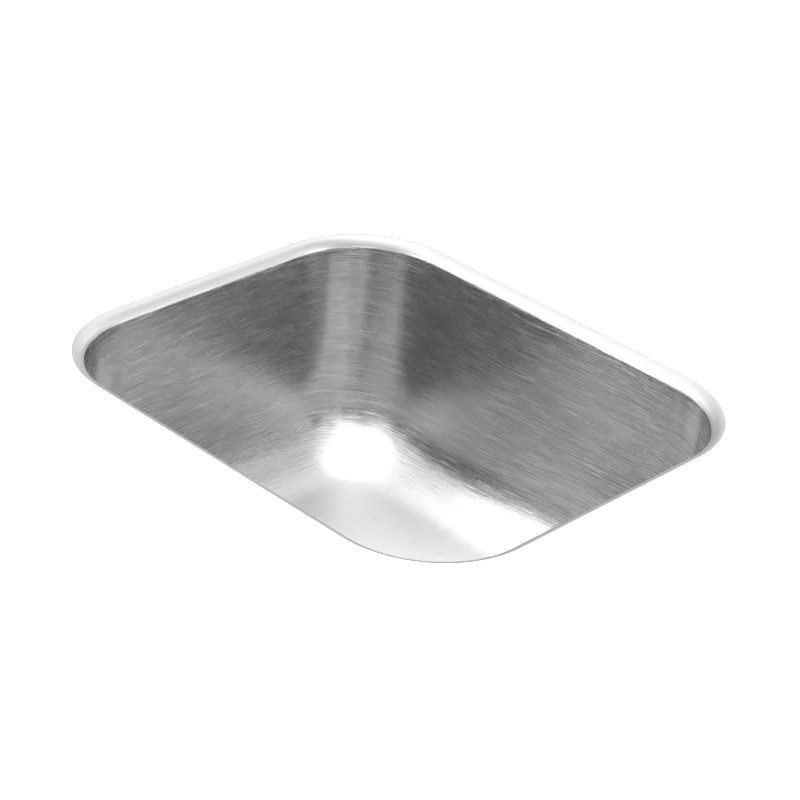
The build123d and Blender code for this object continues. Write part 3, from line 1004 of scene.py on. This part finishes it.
def basket_mesh(sizes):
    """Slotted cup with a rolled lip."""
    low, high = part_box("strainer_basket")
    inner = sizes.radius - sizes.sheet
    bore = sizes.rod_radius + sizes.rod_fit
    profile = eased([
        (bore, low.z, 0.0002), (sizes.radius, low.z, sizes.foot_round),
        (sizes.radius, high.z - sizes.lip_height, 0.0004),
        (sizes.lip_radius, high.z - sizes.lip_height, 0.0005),
        (sizes.lip_radius, high.z, 0.0009), (inner, high.z, 0.0012),
        (inner, low.z + sizes.sheet, sizes.foot_round - sizes.sheet),
        (bore, low.z + sizes.sheet, 0.0002),
    ], 0, 5)
    cup = solid("strainer_basket", spun(profile, 160))
    wall_low, wall_high = low.z + sizes.wall_slot_margin, high.z - sizes.wall_slot_margin
    layout = polar_layout()
    outline, half_cut = stadium(wall_high - wall_low, sizes.wall_slot_width), 0.0025
    slot = plate("slot", outline, -half_cut, half_cut, 0)
    upright = Matrix.Rotation(pi / 2, 4, "Y")
    slot.transform(Matrix.Translation((0, 0, (wall_low + wall_high) / 2)) @ upright)
    slots_round = repeated(slot, layout, Count=sizes.wall_slots, Radius=inner)
    near, far = sizes.floor_slot_start, sizes.radius - sizes.floor_slot_margin
    outline = stadium(far - near, sizes.floor_slot_width)
    drain = plate("drain", outline, low.z - 0.001, low.z + 0.002, 0)
    drains = repeated(drain, layout, Count=sizes.floor_slots, Radius=(near + far) / 2)
    return shaped(cup, "DIFFERENCE", [slots_round, drains])


def knob_profile(sizes, low, high):
    """Section of the pull knob, with a blind bore for the rod."""
    rod, neck = sizes.rod_radius, sizes.knob_neck
    head, bore_top = high.z - sizes.knob_head, high.z - sizes.knob_bore
    return eased([
        (rod, low.z, 0.0003), (neck, low.z, 0.0008), (neck, head, 0.0022), (high.x, head, 0.0012),
        (high.x, high.z, 0.0022), (0, high.z, 0), (0, bore_top, 0), (rod, bore_top, 0),
    ], 0, 6)


def stopper_profile(sizes, low, high):
    """Section of the stopper, with a groove round its edge."""
    middle, half_groove = (low.z + high.z) / 2, 0.0006
    return eased([
        (sizes.rod_radius, low.z, 0.0003), (high.x, low.z, 0.0008),
        (high.x, middle - half_groove, 0.0003), (high.x - sizes.groove, middle, 0.0003),
        (high.x, middle + half_groove, 0.0003), (high.x, high.z, 0.0008),
        (sizes.rod_radius, high.z, 0.0003),
    ], 0)


def nut_mesh(node, flat, bore_profile, segments=96):
    """Six-sided nut over a bore given from its top to its foot."""
    low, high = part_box(node)
    stations = nut_sides(flat, low.z, high.z, segments)
    return solid(node, stations + spun(bore_profile, segments))


def clip_mesh(sizes):
    """Cranked strip with bends, rounded ends and a slot, at a fixing's own origin."""
    sheet = bpy.context.scene.sink_bowl.sheet
    toe, strip = -sheet - sizes.clip_thickness / 2, -sheet - sizes.clip_drop
    heel = sizes.stud_offset + sizes.heel_reach
    corners = [
        (-sizes.toe_reach, toe, 0), (-sizes.crank, toe), (0, strip), (heel, strip), (heel, 0, 0)
    ]
    path = open_path(corners, sizes.bend_radius)
    run = [0, *accumulate((b - a).length for a, b in pairwise(path))]
    section = eased(box_outline(sizes.clip_width, sizes.clip_thickness), 0.0005, 3)
    stations = []
    for i, (place, here) in enumerate(zip(run, path)):
        tangent = (path[min(i + 1, len(path) - 1)] - path[max(i - 1, 0)]).normalized()
        normal = Vector((-tangent.y, tangent.x))
        narrow = end_taper(min(place, run[-1] - place), sizes.end_round)
        station = []
        for across, thick in section:
            side = across - narrow * (1 if across > 0 else -1)
            level = here + normal * thick
            station.append((level.x, side, level.y))
        stations.append(station)
    for end, station in ((0, stations[0]), (len(stations) + 1, stations[-1])):
        middle = sum((Vector(point) for point in station), Vector()) / len(station)
        stations.insert(end, [tuple(middle)] * len(station))
    outline = stadium(sizes.slot_length, 2 * (sizes.stud_radius + sizes.slot_fit))
    slot = plate("slot", outline, strip - sizes.clip_thickness, strip + sizes.clip_thickness, 0)
    slot.transform(Matrix.Translation((sizes.stud_offset, 0, 0)))
    return shaped(solid("clip", stations), "DIFFERENCE", [slot])


def end_taper(run, radius):
    """How much narrower a strip with round corners is at a distance from its end."""
    short = max(0.0, radius - run)
    return radius - (radius * radius - short * short) ** 0.5


def open_path(corners, bend, steps=6, longest=0.004):
    """Points along a bent strip's middle line, closer together at the ends of its straights."""
    nearer = (0.0003, 0.0008, 0.0016, 0.003)
    bends = eased(corners, bend, steps)
    path = []
    for a, b in pairwise(bends):
        path.append(a)
        span = (b - a).length
        if span > longest:
            shares = [step / span for step in nearer if step < span / 2]
            path += [a.lerp(b, share) for share in shares]
            path += [b.lerp(a, share) for share in shares[::-1]]
    return path + [bends[-1]]


def stud_plate_mesh(sizes, layout):
    """Perforated plate with a threaded stud, at a fixing's own origin."""
    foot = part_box("stud_plates")[0].z
    radius, thickness, segments = sizes.stud_radius, sizes.plate_thickness, 24
    outline = eased(box_outline(sizes.plate_width, sizes.plate_length), sizes.plate_corner, 6)
    base = plate("stud_plate", outline, -thickness, 0, 0.0003)
    hole = plate("hole", stadium(sizes.hole_size + 0.0001, sizes.hole_size, 6), -0.002, 0.001, 0)
    holes = repeated(hole, layout, Columns=2, Rows=5, Length=0.0136, Width=0.0264)
    base = shaped(base, "DIFFERENCE", [holes])
    head = spun([(0, -thickness / 2), (radius, -thickness / 2)], segments)
    screw = thread(radius, sizes.stud_thread, sizes.stud_pitch, -0.0015, foot + 0.0006, segments, 5)
    tip = spun([(radius - 0.0008, foot), (0, foot)], segments)
    base = shaped(base, "UNION", [solid("stud", head + screw + tip)])
    base.transform(Matrix.Translation((sizes.stud_offset, 0, 0)))
    return base


def wing_nut_mesh(sizes):
    """Coned hub with two thumb wings, at a fixing's own origin."""
    low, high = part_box("wing_nuts")
    foot, bore = high.z - sizes.hub_height, sizes.stud_radius + sizes.nut_fit
    hub = solid("hub", spun(eased([
        (bore, foot, 0.0004), (sizes.hub_foot, foot, 0.0008),
        (sizes.hub_radius, high.z - 0.0012, 0.0008), (sizes.hub_radius, high.z, 0.0003),
        (bore, high.z, 0.0004),
    ], 0), 48))
    outline = eased([
        (0.0040, foot + 0.0004, 0), (0.0090, low.z, 0.0025), (sizes.wing_reach, low.z, 0.0026),
        (sizes.wing_reach, foot, 0.0035), (0.0052, high.z - 0.0016, 0),
    ], 0, 6)
    wing = plate("wing", outline, -sizes.wing_thickness / 2, sizes.wing_thickness / 2, 0.0007)
    wing.transform(Matrix.Rotation(pi / 2, 4, "X"))
    other = wing.copy()
    other.transform(Matrix.Rotation(pi, 4, "Z"))
    nut = shaped(hub, "UNION", [wing, other])
    nut.transform(Matrix.Translation((sizes.stud_offset, 0, 0)))
    return nut


def at_fixings(mesh, material, spacing, polar, grid):
    """One copy of a mesh at every fixing: two on each long side and one at each end."""
    sides = repeated(
        mesh.copy(), grid, material, Columns=2, Rows=2, Length=spacing,
        Width=2 * flange_high.y, Turn=pi / 2,
    )
    ends = repeated(mesh, polar, material, Count=2, Radius=flange_high.x)
    both = bmesh.new()
    both.from_mesh(sides)
    both.from_mesh(ends)
    both.to_mesh(sides)
    both.free()
    return sides


class SINK_OT_bowl(bpy.types.Operator):
    """Press the bowl from one sheet"""

    bl_idname = "sink.bowl"
    bl_label = "Pressed Bowl"

    def execute(self, context):
        sizes = context.scene.sink_bowl
        fitted("pressed_bowl", press_bowl(sizes), "sink_bowl", "sink", brushed_bowl(sizes))
        return {"FINISHED"}


class SINK_OT_stage(bpy.types.Operator):
    """Set the camera, the lights and the pale board"""

    bl_idname = "sink.stage"
    bl_label = "Stage"

    def execute(self, context):
        scene = context.scene
        stage, bowl = scene.sink_stage, scene.sink_bowl
        add_camera(scene, stage)
        add_lights(scene, stage)
        add_board(stage, bowl)
        add_floor(stage)
        scene.view_settings.view_transform = "Standard"
        scene.view_settings.gamma = stage.contrast
        return {"FINISHED"}


def bearing(azimuth, elevation):
    """Direction from the middle of the mouth, azimuth 0 at the front."""
    return Vector((sin(azimuth) * cos(elevation), -cos(azimuth) * cos(elevation), sin(elevation)))


def add_camera(scene, stage):
    """Camera at the photograph's angle."""
    back = bearing(stage.azimuth, stage.elevation)
    right = Vector((cos(stage.azimuth), sin(stage.azimuth), 0))
    axes = Matrix((right, back.cross(right), back)).transposed()
    data = bpy.data.cameras.new("camera")
    data.lens, data.shift_x, data.shift_y = stage.lens, stage.shift_x, stage.shift_y
    camera = bpy.data.objects.new("camera", data)
    camera.matrix_world = Matrix.Translation(back * stage.distance) @ (
        axes.to_4x4() @ Matrix.Rotation(-stage.roll, 4, "Z")
    )
    scene.collection.objects.link(camera)
    scene.camera = camera


class Studio(Nodes):
    """The light round the object: an even sky with soft lobes in it, white to the camera."""

    def __init__(self, name):
        self.world = bpy.data.worlds.new(name)
        self.world.use_nodes = True
        self.tree = self.world.node_tree
        self.tree.nodes.clear()

    def lobe(self, towards, strength, width):
        """Light that falls off softly round one direction."""
        inputs = {0: self.node("TexCoord", output="Generated"), 1: towards}
        facing = self.node("VectorMath", {"operation": "DOT_PRODUCT"}, inputs, output=1)
        return facing.larger(0.0) ** width * strength


# Bearing and height in degrees, strength, and how narrow each soft light is
soft_lights = {
    "overhead": (0, 90, 14, 50), "front right": (50, 22, 3, 12), "high right": (42, 60, 3.5, 14),
    "right": (113, 13, 15, 36), "back right": (164, 13, 9, 36), "back": (186, 36, 5, 22),
    "high back": (240, 58, 4, 12), "left": (300, 34, 5, 20), "front left": (296, 12, 8, 36),
    "front": (338, 13, 8, 24), "high front": (348, 36, 3.5, 22),
}


def add_lights(scene, stage):
    """The soft lights as one world, which the camera itself sees as white."""
    studio = Studio("studio")
    light = stage.ambient
    for azimuth, elevation, strength, width in soft_lights.values():
        towards = bearing(radians(azimuth), radians(elevation))
        light = light + studio.lobe(towards, strength * stage.brightness, width)
    seen = studio.node("LightPath")
    strength = light + (1.0 - light) * seen
    background = studio.node("Background", {}, {"Color": (1, 1, 1, 1), "Strength": strength})
    studio.node("OutputWorld", {}, {"Surface": background})
    scene.world = studio.world


def add_board(stage, sizes):
    """Thin pale board at the worktop's underside, open over the mouth."""
    rings = Rings(sizes)
    roll_middle = sizes.roll_radius * (tan(sizes.draft) - 1 / cos(sizes.draft))
    inner = rings.outline(roll_middle)
    near, far = stage.board_near, stage.board_far
    low = Vector((-sizes.mouth_length / 2 - far, -sizes.mouth_width / 2 - near))
    high = Vector((sizes.mouth_length / 2 + near, sizes.mouth_width / 2 + far))
    outer = []
    for point in inner:
        sides = zip(point, low, high)
        reach = min((far if at > 0 else near) / at for at, near, far in sides if abs(at) > MERGE)
        outer.append(point * reach)
    count = len(inner)
    top = stage.board_thickness
    points = [(x, y, 0) for x, y in inner] + [(x, y, top) for x, y in inner + outer]
    faces = [
        (row * count + i, (row + 1) * count + i, (row + 1) * count + (i + 1) % count,
         row * count + (i + 1) % count)
        for row in range(2) for i in range(count)
    ]
    board = mesh_of("board", points, faces)
    placed("board", board, pale("pale_board", stage.board_grey))


def pale(name, grey):
    """Plain pale paint."""
    finish = Finish(name)
    cloud = finish.noise(finish.place(), 3.0, 2.0)
    tone = finish.mixed(cloud, shade((grey,) * 3, 0.98), shade((grey,) * 3, 1.02))
    return finish.finished(finish.surface(Base_Color=tone, Roughness=0.9))


def add_floor(stage):
    """Plain pale floor under the waste tube."""
    level, reach = cad_box[0].z - stage.floor_gap, stage.floor_reach
    points = [(x * reach, y * reach, level) for x, y in ((-1, -1), (1, -1), (1, 1), (-1, 1))]
    floor = mesh_of("floor", points, [(0, 1, 2, 3)])
    placed("floor", floor, pale("pale_floor", stage.floor_grey))


class SINK_OT_sound_pads(bpy.types.Operator):
    """Bond the sound pads to the outside of the bowl"""

    bl_idname = "sink.sound_pads"
    bl_label = "Sound Pads"

    def execute(self, context):
        bowl, pads = context.scene.sink_bowl, context.scene.sink_pads
        walls = {
            "right_pad": (bowl.mouth_length / 2, 0), "back_pad": (bowl.mouth_width / 2, pi / 2),
            "left_pad": (bowl.mouth_length / 2, pi), "front_pad": (bowl.mouth_width / 2, -pi / 2),
        }
        for node, (half, turn) in walls.items():
            fitted("rubber_" + node, pad_on_wall(node, bowl, pads, half, turn), node, "sink")
        fitted("rubber_bottom_pad", pad_on_floor(bowl, pads), "bottom_pad", "sink")
        return {"FINISHED"}


class SINK_OT_strainer(bpy.types.Operator):
    """Turn the drain cup and lay its gasket"""

    bl_idname = "sink.strainer"
    bl_label = "Strainer Body"

    def execute(self, context):
        scene = context.scene
        bowl, sizes = scene.sink_bowl, scene.sink_strainer
        fitted("drain_cup", strainer_mesh(sizes, scene.sink_basket), "strainer_body", "sink")
        fitted_ring("flange_gasket", "drain_gasket", bowl.drain_radius, sizes.gasket_round)
        return {"FINISHED"}


class SINK_OT_clamp_rings(bpy.types.Operator):
    """Fit the rubber washer, the friction ring and the lugged lock nut"""

    bl_idname = "sink.clamp_rings"
    bl_label = "Clamp Rings"

    def execute(self, context):
        sizes = context.scene.sink_strainer
        bore = sizes.cup_radius + sizes.fit
        fitted_ring("sealing_washer", "rubber_washer", bore, 0.0011)
        fitted_ring("slip_ring", "friction_ring", bore, 0.0002)
        low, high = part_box("lock_nut")
        outline = lock_nut_outline(sizes, bore + sizes.nut_wall)
        nut = plate("lugged_nut", outline, low.z, high.z, 0.0008, bore)
        fitted("lugged_nut", nut, "lock_nut", "sink")
        return {"FINISHED"}


class SINK_OT_basket(bpy.types.Operator):
    """Press and pierce the basket"""

    bl_idname = "sink.basket"
    bl_label = "Strainer Basket"

    def execute(self, context):
        basket = basket_mesh(context.scene.sink_basket)
        fitted("slotted_basket", basket, "strainer_basket", "basket")
        return {"FINISHED"}


class SINK_OT_basket_stem(bpy.types.Operator):
    """Make the rod, its knob, its nut and the stopper"""

    bl_idname = "sink.basket_stem"
    bl_label = "Basket Stem"

    def execute(self, context):
        sizes = context.scene.sink_basket
        rod = sizes.rod_radius
        low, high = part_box("basket_post")
        nut_low, nut_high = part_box("post_nut")
        segments, head_bevel, foot_bevel = 32, 0.0003, 0.001
        screw = thread(
            rod, sizes.rod_thread, sizes.rod_pitch, nut_high.z + 0.006, nut_low.z + 0.001, segments
        )
        head = [(0, high.z), (rod - head_bevel, high.z), (rod, high.z - head_bevel)]
        foot = [(rod, low.z + foot_bevel), (rod - foot_bevel, low.z), (0, low.z)]
        post = solid("rod", spun(head, segments) + screw + spun(foot, segments))
        fitted("threaded_rod", post, "basket_post", "basket_stem")
        low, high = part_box("post_knob")
        knob = solid("knob", spun(knob_profile(sizes, low, high), 72))
        fitted("pull_knob", knob, "post_knob", "basket_stem")
        low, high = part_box("post_nut")
        bevel = 0.0004
        bore = [
            (rod + bevel, high.z), (rod, high.z - bevel), (rod, low.z + bevel), (rod + bevel, low.z)
        ]
        fitted("rod_nut", nut_mesh("post_nut", high.y, bore, 48), "post_nut", "basket_stem")
        low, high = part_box("stopper")
        stopper = solid("stopper", spun(stopper_profile(sizes, low, high)))
        fitted("rubber_stopper", stopper, "stopper", "basket_stem")
        return {"FINISHED"}


class SINK_OT_waste(bpy.types.Operator):
    """Make the waste tube, its washer and its coupling nut"""

    bl_idname = "sink.waste"
    bl_label = "Waste Connection"

    def execute(self, context):
        strainer, sizes = context.scene.sink_strainer, context.scene.sink_waste
        fitted_ring("flat_washer", "tailpiece_washer", strainer.outlet_radius, 0.0004)
        low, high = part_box("tailpiece")
        shoulder = high.z - sizes.tube_flange
        bore, tube = sizes.tube_radius - sizes.tube_wall, sizes.tube_radius
        profile = eased([
            (bore, high.z, 0.0008), (bore, low.z, 0.0003), (tube, low.z, 0.0004),
            (tube, shoulder, 0.0006), (high.x, shoulder, 0.0005), (high.x, high.z, 0.0006),
        ], 0)
        fitted("waste_tube", solid("tube", spun(profile)), "tailpiece", "sink")
        low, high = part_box("coupling_nut")
        thread_bore = strainer.neck_radius + sizes.thread_clearance
        way, mouth_bevel, foot_bevel = tube + sizes.nut_clearance, 0.0008, 0.0006
        bore_profile = [
            (thread_bore + mouth_bevel, high.z), (thread_bore, high.z - mouth_bevel),
            (thread_bore, shoulder), (way, shoulder), (way, low.z + foot_bevel),
            (way + foot_bevel, low.z),
        ]
        fitted("slip_nut", nut_mesh("coupling_nut", high.y, bore_profile), "coupling_nut", "sink")
        return {"FINISHED"}


class SINK_OT_fixings(bpy.types.Operator):
    """Set a stud plate, a clip and a wing nut at every fixing"""

    bl_idname = "sink.fixings"
    bl_label = "Worktop Fixings"

    def execute(self, context):
        sizes = context.scene.sink_fixings
        polar, grid = polar_layout(), grid_layout()
        finish = finish_of(slots["stud_plates"])
        for node, name, mesh in (
            ("stud_plates", "threaded_studs", stud_plate_mesh(sizes, grid)),
            ("sink_clips", "cranked_clips", clip_mesh(sizes)),
            ("wing_nuts", "thumb_nuts", wing_nut_mesh(sizes)),
        ):
            fitted(name, at_fixings(mesh, finish, sizes.spacing, polar, grid), node, "sink")
        return {"FINISHED"}


class SINK_PT_panel(bpy.types.Panel):
    """The sink's operators in the 3D view's sidebar"""

    bl_label = "Undermount Sink"
    bl_idname = "SINK_PT_panel"
    bl_space_type = "VIEW_3D"
    bl_region_type = "UI"
    bl_category = "Sink"

    def draw(self, context):
        for operator in operators:
            self.layout.operator(operator.bl_idname)


operators = (
    SINK_OT_bowl, SINK_OT_sound_pads, SINK_OT_strainer, SINK_OT_clamp_rings, SINK_OT_basket,
    SINK_OT_basket_stem, SINK_OT_waste, SINK_OT_fixings, SINK_OT_stage,
)
groups = {
    "sink_bowl": BowlSizes, "sink_pads": PadSizes, "sink_strainer": StrainerSizes,
    "sink_basket": BasketSizes, "sink_waste": WasteSizes, "sink_fixings": FixingSizes,
    "sink_stage": StageSettings,
}


def register():
    """Makes the settings and the operators known."""
    for cls in (*groups.values(), *operators, SINK_PT_panel):
        bpy.utils.register_class(cls)
    for name, group in groups.items():
        setattr(bpy.types.Scene, name, PointerProperty(type=group))


def unregister():
    """Takes them away again."""
    for name in groups:
        delattr(bpy.types.Scene, name)
    for cls in (SINK_PT_panel, *operators[::-1], *groups.values()):
        bpy.utils.unregister_class(cls)


def main():
    """Makes every piece and the stage."""
    register()
    for operator in operators:
        category, name = operator.bl_idname.split(".")
        getattr(getattr(bpy.ops, category), name)()


if __name__ == "__main__":
    main()
